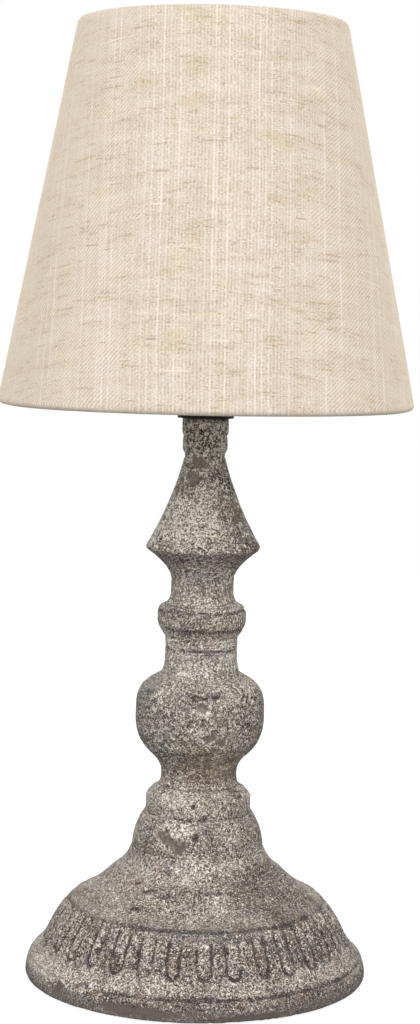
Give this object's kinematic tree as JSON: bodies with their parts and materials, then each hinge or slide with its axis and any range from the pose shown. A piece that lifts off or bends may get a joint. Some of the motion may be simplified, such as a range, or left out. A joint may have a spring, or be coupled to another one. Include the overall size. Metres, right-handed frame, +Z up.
{
  "type": "bedside lamp",
  "caption": "Bedside lamp with a turned, distressed stone-look metal column on a bell foot with a tongue pattern, and a tapered linen shade on a small screw lampholder.",
  "frame": {"origin": "on the lamp's axis, on the surface that it stands on", "axes": "+Z up along the column, +Y towards the cord entry at the back, -Y towards the viewer"},
  "size_m": [0.1954, 0.1954, 0.4497],
  "materials": {
    "stone_paint": "matt, sandy, rubbed grey-brown paint on thin iron",
    "linen": "natural slubbed linen weave",
    "white_lining": "smooth stiff lining",
    "white_wire": "white coated wire",
    "black_plastic": "satin moulded black",
    "cream_plastic": "moulded, satin",
    "brass": "pressed sheet",
    "zinc_steel": "zinc plated",
    "yellow_steel": "yellow passivated zinc",
    "plate_steel": "plain grey primer",
    "raw_iron": "as cast",
    "felt": "dense dark felt",
    "black_rubber": "matt",
    "nickel": "nickel plated thin sheet",
    "solder": "dull solder",
    "black_glass": "glossy black insulating glass",
    "bulb_glass": "frosted inside",
    "filament_wire": "fine wire"
  },
  "bodies": {
    "base": {"felt_pad": "felt", "closing_plate": "plate_steel", "foot_shell": "stone_paint", "cord_bush": "black_rubber", "iron_weight": "raw_iron", "plain_washer": "zinc_steel", "spring_washer": "zinc_steel", "rod_nut": "yellow_steel", "threaded_rod": "yellow_steel", "step_collar": "stone_paint", "bead_collar": "stone_paint", "vase": "stone_paint", "ring_spool": "stone_paint", "cone_spire": "stone_paint", "neck_piece": "stone_paint", "holder_cap": "black_plastic", "cap_grub_screw": "zinc_steel", "terminal_block": "cream_plastic", "terminals": "brass", "terminal_screws": "zinc_steel", "screw_shell": "brass", "holder_shell": "black_plastic"},
    "shade": {"shade_cover": "linen", "shade_lining": "white_lining", "top_wire": "white_wire", "bottom_wire": "white_wire", "shade_arms": "white_wire", "shade_hub": "white_wire"},
    "ring": {"shade_ring": "black_plastic"},
    "contact": {"centre_contact": "brass"},
    "tip": {"bulb_tip": "solder"},
    "bulb": {"bulb_insulator": "black_glass", "bulb_cap": "nickel", "bulb_glass": "bulb_glass", "bulb_stem": "bulb_glass", "bulb_filament": "filament_wire"}
  },
  "joints": [
    {"name": "shade_turn", "type": "hinge", "parent": "base", "child": "shade", "pos_m": [0, 0, 0.2825], "axis": [0, 0, 1], "continuous": true},
    {"name": "ring_turn", "type": "hinge", "parent": "base", "child": "ring", "pos_m": [0, 0, 0.2839], "axis": [0, 0, 1], "range_deg": [0, 1080]},
    {"name": "contact_press", "type": "slide", "parent": "base", "child": "contact", "axis": [0, 0, 1], "range_m": [-0.0008, 0], "stiffness_N_per_m": 200, "springref_m": 0.0005},
    {"name": "bulb_rise", "type": "slide", "parent": "base", "child": "tip", "axis": [0, 0, 1], "range_m": [0, 0.0113]},
    {"name": "bulb_turn", "type": "hinge", "parent": "tip", "child": "bulb", "pos_m": [0, 0, 0.29], "axis": [0, 0, 1], "range_deg": [0, 1440]}
  ],
  "couplings": [
    {"joint": "bulb_rise", "follows": "bulb_turn", "m_per_rad": 0.00044882}
  ]
}
